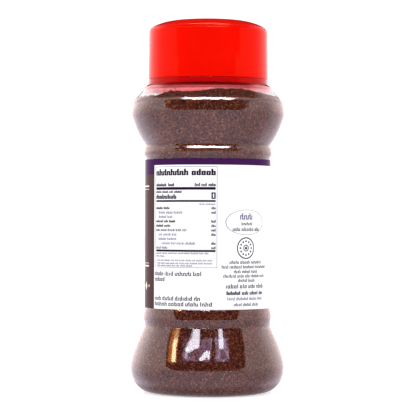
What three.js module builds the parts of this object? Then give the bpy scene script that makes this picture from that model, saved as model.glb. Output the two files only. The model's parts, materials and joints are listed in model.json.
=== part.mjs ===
// A clear plastic spice jar of ground cloves, shut by a glossy red cap: a thin hourglass jar with
// two round bulges, a straight waist under a wrap-round label, and the dark powder inside it.
//
// Units are millimetres and +Z is up. The origin is the centre of the jar's foot, on the surface
// that it stands on, and -Y is the side with the panel of small print.

import * as THREE from "three";

// ---- driving dimensions -------------------------------------------------------------------

// The whole
const CAP_RADIUS = 21.0; // outside of the cap, at the bottom edge of its skirt
const BULGE_RADIUS = 27.05; // the jar's greatest radius, on both bulges
const WAIST_RADIUS = 21.9; // the straight waist that carries the label
const TOTAL_HEIGHT = 129.7;

// Jar
const WALL = 0.8; // blown wall, nearly even
const RING_IN = 15.5; // the flat ring that the jar stands on
const RING_OUT = 19.0;
const PUSH_UP = 2.2; // height of the dome inside that ring
const PINCH_RADIUS = 21.95; // the narrow grooves between the waist and the bulges
const PINCH_LOW = 23.3;
const PINCH_HIGH = 85.5;
const WAIST_LOW = 27.9;
const WAIST_HIGH = 82.0;
const BEAD_RADIUS = 22.75; // the beads just above and below the label
const NECK_RADIUS = 18.6; // outside of the neck, inside the cap
const NECK_WALL = 1.2;
const NECK_ROOT = 108.2;
const SHOULDER_RADIUS = 20.4; // where the shoulder meets the band below the cap
const SHOULDER_TOP = 107.75;
const STEP_RISE = 0.08; // how little the step inside the shoulder rises to the neck
const NECK_FILLET = 0.4;
const RIM_HEIGHT = 126.1;
const RIM_ROUND = 0.4;

// Ground cloves
const FILL_LEVEL = 103.5;
const FILL_GAP = 0.06; // what keeps the powder's solid clear of the jar's
const FILL_UNEVEN = 0.35; // how far the surface rises and dips about its level

// Cap and the narrow band below it
const SKIRT_LOW = 109.2;
const SKIRT_TOP_RADIUS = 20.8; // the skirt tapers a little
const CAP_BORE = 19.3;
const CAP_ROOF = 126.4; // the flat inside of its top
const CROWN_FLAT = 11.2; // radius of the level middle of the top
const CROWN_ARC = 17.4; // radius of the arc from there down to the skirt's crease
const EDGE_ROUND = 0.3;
const BAND_LOW = 107.95;
const BAND_HEIGHT = 0.9;
const BAND_RADIUS = 20.75;

// Label
const LABEL_LOW = 29.8;
const LABEL_HIGH = 81.2;
const LABEL_CLEAR = 0.03; // clear of the waist
const LABEL_THICK = 0.17;

// Fineness
const SEGMENTS = 48; // round the axis, for every piece
const BULGE_STEPS = 13;
const DOME_STEPS = 4;
const CROWN_STEPS = 5;
const TOP_RINGS = 7; // rings of points on the powder's surface

// ---- outlines, as points [radius, height] -------------------------------------------------

// A smooth curve through a few points.
function curveThrough(points, steps) {
  const curve = new THREE.SplineCurve(points.map(([r, z]) => new THREE.Vector2(r, z)));
  return curve.getSpacedPoints(steps);
}

const vertices = (points) => points.map(([r, z]) => new THREE.Vector2(r, z));

// The outline moved square to itself, towards the axis on an outside that is drawn upwards.
function inset(points, distance) {
  return points.map((point, i) => {
    const before = points[Math.max(i - 1, 0)];
    const after = points[Math.min(i + 1, points.length - 1)];
    const along = after.clone().sub(before).normalize();
    return new THREE.Vector2(point.x - along.y * distance, point.y + along.x * distance);
  });
}

// The dome pushed up inside the foot ring, from the axis outwards.
function footDome(height, radius, lift) {
  const points = [];
  for (let i = 0; i <= DOME_STEPS; i += 1) {
    const share = i / DOME_STEPS;
    points.push(new THREE.Vector2(radius * share, lift + height * (1 - share ** 2)));
  }
  return points;
}

// From the foot ring out round the heel, over the bulge and in to the lower groove.
const lowerBulge = curveThrough(
  [
    [RING_OUT, 0],
    [22.3, 0.85],
    [24.6, 2.6],
    [26.2, 4.9],
    [BULGE_RADIUS, 8.3],
    [26.6, 11.8],
    [25.5, 15.7],
    [24.2, 18.7],
    [22.95, 21.8],
    [PINCH_RADIUS, PINCH_LOW],
  ],
  BULGE_STEPS,
);

// A small second ridge, a notch and the bead below the label.
const lowerBead = vertices([
  [22.4, 24.4],
  [22.2, 25.1],
  [BEAD_RADIUS, 26.1],
  [22.5, 27.1],
  [WAIST_RADIUS, WAIST_LOW],
]);

const upperBead = vertices([
  [WAIST_RADIUS, WAIST_HIGH],
  [22.55, 82.7],
  [BEAD_RADIUS, 83.4],
  [22.5, 84.7],
]);

// From the upper groove out over the shoulder and in below the cap.
const upperBulge = curveThrough(
  [
    [PINCH_RADIUS, PINCH_HIGH],
    [22.95, 87.1],
    [24.4, 90.0],
    [25.9, 93.4],
    [BULGE_RADIUS, 98.0],
    [26.3, 101.2],
    [24.7, 103.3],
    [23.2, 105.0],
    [21.95, 106.6],
    [SHOULDER_RADIUS, SHOULDER_TOP],
  ],
  BULGE_STEPS,
);

// The short step from the shoulder to the foot of the neck, which the band sits over.
const neckFoot = vertices([
  [NECK_RADIUS + NECK_FILLET, SHOULDER_TOP + STEP_RISE],
  [NECK_RADIUS, NECK_ROOT],
]);

// The jar's inside up to the neck, at a given depth below the outer skin. The small ridge and
// notch don't show through to the inside of a blown wall.
function jarInside(depth) {
  return [
    ...footDome(PUSH_UP, RING_IN, depth),
    new THREE.Vector2(RING_OUT, depth),
    ...inset(lowerBulge, depth).slice(1),
    new THREE.Vector2(WAIST_RADIUS - depth, WAIST_LOW),
    new THREE.Vector2(WAIST_RADIUS - depth, WAIST_HIGH),
    ...inset(upperBulge, depth),
  ];
}

// ---- pieces -------------------------------------------------------------------------------

// A lathe turns its outline about Y, so the result is stood up on Z. The outline starts and ends
// on the axis.
function turned(outline) {
  return new THREE.LatheGeometry(outline, SEGMENTS).rotateX(Math.PI / 2);
}

// The same for a ring, whose outline closes on itself.
function turnedRing(outline) {
  return turned([...outline, outline[0].clone()]);
}

function jarGeometry() {
  const neckInside = NECK_RADIUS - NECK_WALL;
  const neck = vertices([
    [NECK_RADIUS, RIM_HEIGHT - RIM_ROUND],
    [NECK_RADIUS - RIM_ROUND, RIM_HEIGHT],
    [neckInside, RIM_HEIGHT],
    [neckInside, NECK_ROOT],
  ]);
  return turned([
    ...footDome(PUSH_UP, RING_IN, 0),
    ...lowerBulge,
    ...lowerBead,
    ...upperBead,
    ...upperBulge,
    ...neckFoot,
    ...neck,
    ...jarInside(WALL).reverse(),
  ]);
}

// Gentle hollows and rises between -1 and 1, as of powder that has been shaken level. They are
// three crossing ripples, 10 to 25 mm long.
function unevenness(x, y) {
  const broad = Math.sin(x / 3.1 + 1.3) * Math.cos(y / 4.3 - 0.4);
  const slanting = Math.sin((x + y) / 2.3);
  const crossing = Math.cos((x - 1.6 * y) / 1.7 + 2.1);
  return 0.45 * broad + 0.35 * slanting + 0.2 * crossing;
}

// The powder fills the jar's inside up to its level, where its outline crosses the wall.
function groundClovesGeometry() {
  const wall = jarInside(WALL + FILL_GAP);
  const above = wall.findIndex((point) => point.y > FILL_LEVEL);
  const below = wall[above - 1];
  const share = (FILL_LEVEL - below.y) / (wall[above].y - below.y);
  const edge = below.clone().lerp(wall[above], share);
  const surface = [];
  for (let ring = 0; ring <= TOP_RINGS; ring += 1) {
    surface.push(new THREE.Vector2(edge.x * (1 - ring / TOP_RINGS), FILL_LEVEL));
  }
  const geometry = turned([...wall.slice(0, above), ...surface]);
  const place = geometry.getAttribute("position");
  for (let i = 0; i < place.count; i += 1) {
    const x = place.getX(i);
    const y = place.getY(i);
    const insideEdge = Math.hypot(x, y) < edge.x - FILL_GAP;
    if (insideEdge && place.getZ(i) > below.y) {
      place.setZ(i, FILL_LEVEL + FILL_UNEVEN * unevenness(x, y));
    }
  }
  return geometry;
}

// A straight skirt that ends in a crease, and a low crown: an arc in to a level middle.
function capGeometry() {
  const crown = [];
  const steepest = Math.asin((SKIRT_TOP_RADIUS - CROWN_FLAT) / CROWN_ARC);
  for (let i = CROWN_STEPS; i >= 0; i -= 1) {
    const turn = (steepest * i) / CROWN_STEPS;
    const radius = CROWN_FLAT + CROWN_ARC * Math.sin(turn);
    crown.push([radius, TOTAL_HEIGHT - CROWN_ARC * (1 - Math.cos(turn))]);
  }
  return turned(
    vertices([
      [0, CAP_ROOF],
      [CAP_BORE, CAP_ROOF],
      [CAP_BORE, SKIRT_LOW],
      [CAP_RADIUS - EDGE_ROUND, SKIRT_LOW],
      [CAP_RADIUS, SKIRT_LOW + EDGE_ROUND],
      ...crown,
      [0, TOTAL_HEIGHT],
    ]),
  );
}

function bandGeometry() {
  const high = BAND_LOW + BAND_HEIGHT;
  return turnedRing(
    vertices([
      [CAP_BORE, BAND_LOW],
      [BAND_RADIUS - EDGE_ROUND, BAND_LOW],
      [BAND_RADIUS, BAND_LOW + EDGE_ROUND],
      [BAND_RADIUS, high - EDGE_ROUND],
      [BAND_RADIUS - EDGE_ROUND, high],
      [CAP_BORE, high],
    ]),
  );
}

function labelGeometry() {
  const inner = WAIST_RADIUS + LABEL_CLEAR;
  const outer = inner + LABEL_THICK;
  return turnedRing(
    vertices([
      [inner, LABEL_LOW],
      [outer, LABEL_LOW],
      [outer, LABEL_HIGH],
      [inner, LABEL_HIGH],
    ]),
  );
}

// ---- materials ----------------------------------------------------------------------------

const clearPlastic = new THREE.MeshStandardMaterial({
  color: 0xeef2f4,
  roughness: 0.06,
  metalness: 0,
  transparent: true,
  opacity: 0.3,
});
const darkPowder = new THREE.MeshStandardMaterial({ color: 0x4f2c22, roughness: 1, metalness: 0 });
const redPlastic = new THREE.MeshStandardMaterial({ color: 0xd8130c, roughness: 0.2, metalness: 0 });
const labelFilm = new THREE.MeshStandardMaterial({ color: 0xf4f3f7, roughness: 0.4, metalness: 0 });

// ---- assembly -----------------------------------------------------------------------------

const pieces = [
  ["jar", jarGeometry(), clearPlastic],
  ["ground_cloves", groundClovesGeometry(), darkPowder],
  ["label", labelGeometry(), labelFilm],
  ["cap_band", bandGeometry(), redPlastic],
  ["cap", capGeometry(), redPlastic],
];

const spiceJar = new THREE.Group();
for (const [name, geometry, material] of pieces) {
  const mesh = new THREE.Mesh(geometry, material);
  mesh.name = name;
  spiceJar.add(mesh);
}

export default spiceJar;
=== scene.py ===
# %% [markdown]
# # A clear spice jar of ground cloves
#
# The object is a blown plastic jar, shaped like an hourglass, full of dark ground cloves. A printed
# film is wrapped round its straight waist and a glossy red cap closes it. Under the cap's skirt
# shows a narrow, darker ring.
#
# The solid model of the jar is loaded first, as a frame that is never changed. Everything below
# is made to fit it, in metres, with the jar's foot at the origin, +Z up, and -Y towards the white
# panel of the label.

# %% The frame
import json
import math
import random

import bpy
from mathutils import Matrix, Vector

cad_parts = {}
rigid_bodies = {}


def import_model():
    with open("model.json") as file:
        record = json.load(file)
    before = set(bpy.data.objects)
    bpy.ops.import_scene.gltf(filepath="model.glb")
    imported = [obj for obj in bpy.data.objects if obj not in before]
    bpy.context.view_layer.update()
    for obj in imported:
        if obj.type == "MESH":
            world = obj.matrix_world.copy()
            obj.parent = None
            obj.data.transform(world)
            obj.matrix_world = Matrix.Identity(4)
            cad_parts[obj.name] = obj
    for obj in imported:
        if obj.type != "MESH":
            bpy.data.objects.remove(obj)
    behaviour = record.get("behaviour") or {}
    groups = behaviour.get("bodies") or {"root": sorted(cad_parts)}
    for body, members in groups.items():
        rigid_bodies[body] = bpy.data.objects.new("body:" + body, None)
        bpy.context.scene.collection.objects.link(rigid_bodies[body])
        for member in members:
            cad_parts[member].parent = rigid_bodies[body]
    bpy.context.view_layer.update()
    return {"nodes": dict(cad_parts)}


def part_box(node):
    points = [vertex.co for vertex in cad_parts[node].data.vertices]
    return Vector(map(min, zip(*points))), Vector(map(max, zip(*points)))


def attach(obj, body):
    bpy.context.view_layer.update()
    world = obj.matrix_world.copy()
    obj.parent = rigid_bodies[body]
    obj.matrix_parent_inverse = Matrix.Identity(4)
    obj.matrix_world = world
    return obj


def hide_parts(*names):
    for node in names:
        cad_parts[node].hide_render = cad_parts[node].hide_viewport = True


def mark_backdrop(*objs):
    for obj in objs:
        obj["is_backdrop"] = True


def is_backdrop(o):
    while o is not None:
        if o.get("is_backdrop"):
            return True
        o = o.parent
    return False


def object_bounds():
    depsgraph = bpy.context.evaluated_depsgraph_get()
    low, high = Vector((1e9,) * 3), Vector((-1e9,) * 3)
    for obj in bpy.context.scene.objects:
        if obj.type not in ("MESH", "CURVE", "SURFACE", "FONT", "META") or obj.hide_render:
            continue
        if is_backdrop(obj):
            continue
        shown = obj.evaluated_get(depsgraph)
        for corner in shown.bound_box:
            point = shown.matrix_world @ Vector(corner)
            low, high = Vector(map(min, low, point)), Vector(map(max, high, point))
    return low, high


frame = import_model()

print("solid pieces:", sorted(frame["nodes"]))

# %% [markdown]
# ## Outlines
#
# Jar, powder, cap and ring are all round, so each is one outline turned about the upright axis.
# An outline is written as points of radius and height in millimetres. Only the points that the
# shape needs are written down, and a smooth curve is drawn through them.
#
# The curve is a Catmull-Rom spline: it passes through every point, and its slope at a point is
# that of the line between the two neighbours.

# %% Curves through points
MM = 0.001
LEG_STEPS = 6  # straight pieces between two written points


def smooth_through(points, steps=LEG_STEPS):
    """A smooth curve through the points, with the same number of steps in every leg."""
    last = len(points) - 1
    curve = [points[0]]
    for leg in range(last):
        before, start, end, after = (points[min(max(leg + i, 0), last)] for i in (-1, 0, 1, 2))
        for step in range(1, steps + 1):
            t = step / steps
            curve.append(tuple(spline(t, *four) for four in zip(before, start, end, after)))
    return curve


def spline(t, before, start, end, after):
    """One coordinate of a Catmull-Rom spline, a share t of the way from start to end."""
    leaving = (end - before) / 2
    arriving = (after - start) / 2
    cubic = 2 * start - 2 * end + leaving + arriving
    square = 3 * end - 3 * start - 2 * leaving - arriving
    return ((cubic * t + square) * t + leaving) * t + start


def inset(points, depth):
    """The outline moved square to itself, into a jar whose outside is written upwards."""
    moved = []
    for i, (r, z) in enumerate(points):
        r0, z0 = points[max(i - 1, 0)]
        r1, z1 = points[min(i + 1, len(points) - 1)]
        length = math.hypot(r1 - r0, z1 - z0)
        moved.append((r - depth * (z1 - z0) / length, z + depth * (r1 - r0) / length))
    return moved


def arc(centre, radius, start, end, steps):
    """Points along an arc, from one angle to another, in degrees from straight outwards."""
    turns = [math.radians(start + (end - start) * i / steps) for i in range(steps + 1)]
    return [(centre[0] + radius * math.cos(a), centre[1] + radius * math.sin(a)) for a in turns]


# %% [markdown]
# ## The jar's outline
#
# From the foot ring the outline swells to the lower bulge, runs in to a groove, over a soft bead and
# up the straight waist under the label. Above the label it does the same the other way up, and the
# upper bulge rounds in to the shoulder below the cap.

# %% The jar's outline
WALL = 0.8
RIDGE = 0.03  # how far the mould's parting line stands out
RING_IN = 15.5  # the flat ring that the jar stands on
RING_OUT = 19.0
PUSH_UP = 2.2  # the dome inside that ring
WAIST = 21.9
WAIST_LOW, WAIST_HIGH = 27.9, 82.0
WIDEST = 1000 * (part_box("jar")[1].x) - RIDGE

LOWER_BULGE = [
    (RING_OUT, 0.0), (22.3, 0.85), (24.6, 2.6), (26.2, 4.9), (27.05, 8.3),
    (26.68, 11.8), (25.5, 15.7), (24.3, 18.7), (22.95, 21.8), (22.2, 23.5),
]  # fmt: skip
LOWER_BEAD = [
    (22.2, 23.5), (22.2, 24.2), (22.27, 24.9), (22.4, 25.5), (22.54, 26.1),
    (22.55, 26.5), (22.46, 27.3), (22.33, 28.3), (22.16, 29.3), (22.04, 29.7), (WAIST, 30.3),
]  # fmt: skip
UPPER_BEAD = [
    (WAIST, 81.2), (22.0, 82.0), (22.35, 82.5), (22.6, 83.1),
    (22.7, 83.7), (22.63, 84.3), (22.39, 84.88), (22.1, 85.5),
]  # fmt: skip
UPPER_BULGE = [
    (22.1, 85.5), (22.02, 86.1), (22.27, 86.8), (22.95, 87.7), (24.4, 90.2), (25.9, 93.5),
    (27.04, 97.3), (26.3, 101.0), (24.55, 103.3), (23.1, 105.0), (21.95, 106.6), (20.4, 107.75),
]  # fmt: skip

lower_bulge = smooth_through(LOWER_BULGE)
upper_bulge = smooth_through(UPPER_BULGE)


def foot_dome(lift, steps=12):
    """The dome pushed up inside the foot ring, from the axis outwards."""
    shares = [i / steps for i in range(steps + 1)]
    return [(RING_IN * share, lift + PUSH_UP * (1 - share**2)) for share in shares]


def jar_inside(depth):
    """The jar's outline at a depth below its skin. The beads don't reach the inside."""
    waist = [(WAIST - depth, WAIST_LOW), (WAIST - depth, WAIST_HIGH)]
    foot = foot_dome(depth) + [(RING_OUT, depth)]
    return foot + inset(lower_bulge, depth)[1:] + waist + inset(upper_bulge, depth)


print("outline points of one bulge:", len(lower_bulge))
print("widest radius in mm:", round(WIDEST, 3))

# %% [markdown]
# ## Turning an outline
#
# A round thing is made as on a lathe. A tiny plane is merged into one point, the point is extruded
# along the outline, and the line is spun about the jar's axis. Where the line starts and ends on
# the axis, the result is closed, once the doubled points are merged. Then all faces are turned
# outwards.
#
# The plane is only a way to get a first point: Blender has no operator that adds a single one.

# %% Turning helpers
AROUND = 144  # steps round the axis
AXIS = {"center": (0, 0, 0), "axis": (0, 0, 1)}
WELD = 1e-6  # closer than this, in metres, two points are one
SMOOTH_ALL = 180  # degrees


def first_point(x, y, z):
    """One point, selected, in the mesh that is being edited, at a place in millimetres."""
    bpy.ops.mesh.select_all(action="DESELECT")
    bpy.ops.mesh.primitive_plane_add(size=MM)
    bpy.ops.mesh.merge(type="CENTER")
    bpy.ops.transform.translate(value=(x * MM, y * MM, z * MM))


def extruded(x, y, z):
    """Extrudes the selected points by a step in millimetres."""
    step = (x * MM, y * MM, z * MM)
    bpy.ops.mesh.extrude_vertices_move(TRANSFORM_OT_translate={"value": step})


def new_piece(name):
    """An empty mesh object at the origin, open in edit mode."""
    bpy.ops.object.select_all(action="DESELECT")
    bpy.ops.mesh.primitive_plane_add(size=MM)
    piece = bpy.context.object
    piece.name = piece.data.name = name
    bpy.ops.object.mode_set(mode="EDIT")
    bpy.ops.mesh.delete(type="VERT")
    bpy.ops.mesh.select_mode(type="VERT")
    return piece


def draw(outline):
    """Extrudes a point along an outline of radius and height in millimetres."""
    first_point(outline[0][0], 0, outline[0][1])
    for (r0, z0), (r1, z1) in zip(outline, outline[1:]):
        extruded(r1 - r0, 0, z1 - z0)


def turned(name, outline, steps=AROUND, ring=False):
    """The outline turned about the jar's axis. A ring's outline is closed on itself first."""
    piece = new_piece(name)
    draw(outline)
    bpy.ops.mesh.select_all(action="SELECT")
    if ring:
        bpy.ops.mesh.remove_doubles(threshold=WELD)
    bpy.ops.mesh.spin(steps=steps, angle=2 * math.pi, **AXIS)
    bpy.ops.mesh.select_all(action="SELECT")
    bpy.ops.mesh.remove_doubles(threshold=WELD)
    bpy.ops.mesh.normals_make_consistent(inside=False)
    return piece


def pick(piece, kind, wanted):
    """In edit mode, selects only the vertices, edges or polygons that the rule wants."""
    modes = {"vertices": "VERT", "edges": "EDGE", "polygons": "FACE"}
    bpy.ops.mesh.select_mode(type=modes[kind])
    bpy.ops.mesh.select_all(action="DESELECT")
    bpy.ops.object.mode_set(mode="OBJECT")
    for item in getattr(piece.data, kind):
        item.select = wanted(item)
    bpy.ops.object.mode_set(mode="EDIT")


def finished(piece, smooth=35):
    """Leaves edit mode, smooths what meets at less than the angle and says what was made."""
    if bpy.context.mode != "OBJECT":
        bpy.ops.object.mode_set(mode="OBJECT")
    bpy.ops.object.select_all(action="DESELECT")
    piece.select_set(True)
    bpy.context.view_layer.objects.active = piece
    bpy.ops.object.shade_smooth_by_angle(angle=math.radians(smooth))
    triangles = sum(len(face.vertices) - 2 for face in piece.data.polygons)
    print(f"{piece.name}: {triangles} triangles")
    return piece


# %% [markdown]
# ## The jar
#
# The real jar is blown from a heated blank in a mould of two halves. So its wall is thin and nearly
# even, a small nub of the blank is left in the middle of the foot, and a fine line runs up the front
# and the back where the halves met.
#
# One outline goes up the outside, over the rim of the neck and down the inside. It could also be an
# outside shell with a Solidify modifier, but the inside of a blown jar is smoother than its outside,
# which an outline of its own shows.

# %% The jar's shell
NECK = 18.6
NECK_INSIDE = 17.4
NECK_ROOT = 108.2
RIM = 126.1
RIM_ROUND = 0.4
NUB = 1.3  # radius of the nub in the middle of the foot
NUB_DEEP = 0.5

skin_dome = [(r, z) for r, z in foot_dome(0) if r > NUB]
nub_side = skin_dome[0][1]
nub = [(0.0, nub_side - NUB_DEEP), (0.7 * NUB, nub_side - NUB_DEEP), (NUB, nub_side)]
# From the little fillet at its foot up the neck, over its rim and down inside.
neck = [
    (19.0, 107.83), (NECK, NECK_ROOT), (NECK, RIM - RIM_ROUND), (NECK - RIM_ROUND, RIM),
    (NECK_INSIDE, RIM), (NECK_INSIDE, NECK_ROOT),
]  # fmt: skip
outside = (
    lower_bulge + smooth_through(LOWER_BEAD, 4)[1:] + smooth_through(UPPER_BEAD, 4) + upper_bulge[1:]
)
outside = [(min(r, WIDEST), z) for r, z in outside]
shell_outline = nub + skin_dome + outside + neck + jar_inside(WALL)[::-1]
jar = turned("jar_shell", shell_outline)
print("points in the shell's outline:", len(shell_outline))

# %% [markdown]
# The parting line is cut in with Bisect: three upright planes close together, square to the front,
# leave three columns of points down the front and the back. The middle column of the outside is then
# lifted off the wall by a hair.

# %% The parting line
PARTING_X = 0.9  # the line is a little to the right of the label's middle
PARTING_HALF = 0.22
SKIN = 0.1  # what is less deep than this is the outside
LINE_FROM = 20.0  # the line stays off the foot and the neck, where the radius is less


def outside_radius(z):
    """The radius of the jar's outside at a height, both in millimetres."""
    for (r0, z0), (r1, z1) in zip(outside, outside[1:]):
        if z0 <= z <= z1 and z1 > z0:
            return r0 + (r1 - r0) * (z - z0) / (z1 - z0)
    return 0.0


def on_parting_line(vertex):
    x, y, z = (axis / MM for axis in vertex.co)
    return abs(x - PARTING_X) < 0.01 and math.hypot(x, y) > outside_radius(z) - SKIN > LINE_FROM


for offset in (-PARTING_HALF, 0, PARTING_HALF):
    bpy.ops.mesh.select_all(action="SELECT")
    bpy.ops.mesh.bisect(plane_co=((PARTING_X + offset) * MM, 0, 0), plane_no=(1, 0, 0))
pick(jar, "vertices", on_parting_line)
bpy.ops.transform.shrink_fatten(value=RIDGE * MM)
finished(jar)
print("widest y in mm:", round(max(v.co.y for v in jar.data.vertices) / MM, 3))

# %% [markdown]
# ## The ground cloves
#
# The powder fills the jar to a little below the shoulder. It leans against the wall and reaches just
# into it, so that no gap of air shows between powder and plastic. It was poured in and knocked down,
# not levelled: seen from the front it stands highest a little right of the middle, and falls off in
# a small step on the left.
#
# So it is cast and cut, as a cake in a tin is. The cast is the jar's inside, filled to the neck, with
# its points walked at an even spacing so that the faces are nearly square. The cutter is a slab whose
# underside is the powder's surface. A Boolean takes the slab away from the cast.

# %% The cast
POWDER_DEPTH = 0.3  # below the jar's skin
FILL_LEVEL = 103.5
CAST_TOP = 107.0
POWDER_SPACING = 0.72
POWDER_AROUND = 260


def evenly(points, spacing):
    """The same line with its points at an even spacing."""
    walked = [points[0]]
    left = spacing
    for (r0, z0), (r1, z1) in zip(points, points[1:]):
        length = math.hypot(r1 - r0, z1 - z0)
        along = left
        while along < length:
            share = along / length
            walked.append((r0 + (r1 - r0) * share, z0 + (z1 - z0) * share))
            along += spacing
        left = along - length
    return walked + [points[-1]]


cast_wall = [(r, z) for r, z in jar_inside(POWDER_DEPTH) if z < CAST_TOP]
cast_outline = evenly(cast_wall, POWDER_SPACING) + [(0.0, cast_wall[-1][1])]
powder = turned("clove_powder", cast_outline, POWDER_AROUND)
finished(powder, SMOOTH_ALL)

# %% [markdown]
# The slab starts as a fine grid, tilted a little up to the front and the right. Mounds and dips are
# pulled with proportional editing: one point is moved, and its neighbours follow it less and less.
# Two Displace modifiers add the uneven surface and its crumbs, and the grid is extruded upwards.


# %% The surface
def displace(piece, name, pattern, size, strength):
    """A Displace modifier with a cloudy pattern, applied."""
    texture = bpy.data.textures.new(name, "CLOUDS")
    texture.noise_basis = pattern
    texture.noise_scale = size * MM
    texture.noise_depth = 1
    modifier = piece.modifiers.new(name, "DISPLACE")
    modifier.texture = texture
    modifier.texture_coords = "LOCAL"
    modifier.strength = strength * MM
    bpy.ops.object.modifier_apply(modifier=name)


SLAB_SIDE, SLAB_HIGH = 58.0, 10.0
SLAB_POINTS = 90
SURFACE_RADIUS = 24.0
TILT_RIGHT, TILT_FRONT = 1.2, 2.0  # degrees
MIDDLE_LEVEL = 103.0
# degrees right of the front, height and reach in millimetres
MOUNDS = [(20, 0.9, 13), (-30, 0.5, 5), (-48, -0.7, 7), (-75, -0.8, 12), (62, -0.9, 10), (85, -0.6, 10)]

bpy.ops.object.select_all(action="DESELECT")
bpy.ops.mesh.primitive_grid_add(
    x_subdivisions=SLAB_POINTS, y_subdivisions=SLAB_POINTS, size=SLAB_SIDE * MM,
    location=(0, 0, MIDDLE_LEVEL * MM),
    rotation=(math.radians(-TILT_FRONT), math.radians(-TILT_RIGHT), 0),
)  # fmt: skip
slab = bpy.context.object
bpy.ops.object.transform_apply(location=True, rotation=True, scale=True)
bpy.ops.object.mode_set(mode="EDIT")


def pull(right, height, reach):
    """Moves the slab's point nearest to a place at the wall, and its neighbours with it."""
    turn = math.radians(right)
    spot = Vector((math.sin(turn), -math.cos(turn))) * SURFACE_RADIUS * MM
    nearest = min(slab.data.vertices, key=lambda vertex: (vertex.co.xy - spot).length).index
    pick(slab, "vertices", lambda vertex: vertex.index == nearest)
    bpy.ops.transform.translate(
        value=(0, 0, height * MM), use_proportional_edit=True,
        proportional_edit_falloff="SMOOTH", proportional_size=reach * MM,
    )  # fmt: skip


for mound in MOUNDS:
    pull(*mound)
bpy.ops.object.mode_set(mode="OBJECT")
displace(slab, "hollows", "BLENDER_ORIGINAL", 5.0, 0.9)
displace(slab, "crumbs", "VORONOI_F2_F1", 1.8, 0.35)
bpy.ops.object.mode_set(mode="EDIT")
bpy.ops.mesh.select_all(action="SELECT")
bpy.ops.mesh.extrude_region_move(TRANSFORM_OT_translate={"value": (0, 0, SLAB_HIGH * MM)})
bpy.ops.mesh.select_all(action="SELECT")
bpy.ops.mesh.normals_make_consistent(inside=False)
finished(slab)

# %% [markdown]
# The Boolean then takes the slab away. Spin and Boolean number their faces in another order each
# time, and the scatter below draws its random places face by face. So the powder is written down
# again, its points sorted by their place and its faces by their points, and all runs come out alike.


# %% Cutting the surface
def in_order(piece):
    """Numbers a mesh anew, so that the order of points and faces depends on their places alone."""
    mesh = piece.data
    points = [tuple(vertex.co) for vertex in mesh.vertices]
    order = sorted(range(len(points)), key=points.__getitem__)
    rank = {old: new for new, old in enumerate(order)}
    faces = []
    for polygon in mesh.polygons:
        corners = [rank[number] for number in polygon.vertices]
        first = corners.index(min(corners))
        faces.append(corners[first:] + corners[:first])
    mesh.clear_geometry()
    mesh.from_pydata([points[number] for number in order], [], sorted(faces))


bpy.ops.object.select_all(action="DESELECT")
powder.select_set(True)
bpy.context.view_layer.objects.active = powder
cut = powder.modifiers.new("cut", "BOOLEAN")
cut.operation = "DIFFERENCE"
cut.solver = "EXACT"
cut.object = slab
bpy.ops.object.modifier_apply(modifier="cut")
bpy.data.objects.remove(slab)
in_order(powder)
displace(powder, "grain", "VORONOI_F1", 0.7, 0.05)
finished(powder, SMOOTH_ALL)

LOWEST = FILL_LEVEL - 4  # the whole of the open surface lies above this
FACING_UP = 0.8  # and its faces look up at least so much


def on_surface(face):
    """Whether a face of the powder is on its open surface, and not against the wall."""
    return face.normal.z > FACING_UP and face.center.z > LOWEST * MM


heights = [face.center.z / MM for face in powder.data.polygons if on_surface(face)]
print("powder's surface in mm:", round(min(heights), 2), "to", round(max(heights), 2))

# %% [markdown]
# ## Loose grains
#
# Cloves are ground unevenly. Coarser crumbs lie on the powder's surface, and flakes of stem and bud
# are pressed against the wall, a few of them paler than the rest.
#
# Thousands of crumbs can't be placed by hand. Geometry Nodes scatters them: it picks random places
# on a copy of the powder, sets a small irregular grain on each, turned and sized at random with a
# fixed seed, and makes real mesh of them all.


# %% Scattering helpers
def crumb(name, flatness, seed):
    """A small irregular grain, made from a ball of twenty faces."""
    bpy.ops.object.select_all(action="DESELECT")
    bpy.ops.mesh.primitive_ico_sphere_add(subdivisions=1, radius=0.5 * MM)
    grain = bpy.context.object
    grain.name = name
    bpy.ops.object.mode_set(mode="EDIT")
    bpy.ops.transform.vertex_random(offset=0.2 * MM, seed=seed)
    bpy.ops.transform.resize(value=(1, 0.8, flatness))
    bpy.ops.object.mode_set(mode="OBJECT")
    return grain


def faces_of(piece, name, wanted):
    """A copy of the faces that the rule wants, as a piece of its own to scatter on."""
    bpy.ops.object.select_all(action="DESELECT")
    piece.select_set(True)
    bpy.context.view_layer.objects.active = piece
    bpy.ops.object.duplicate()
    copy = bpy.context.object
    copy.name = copy.data.name = name
    bpy.ops.object.mode_set(mode="EDIT")
    pick(copy, "polygons", lambda face: not wanted(face))
    bpy.ops.mesh.delete(type="FACE")
    bpy.ops.object.mode_set(mode="OBJECT")
    return copy


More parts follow.
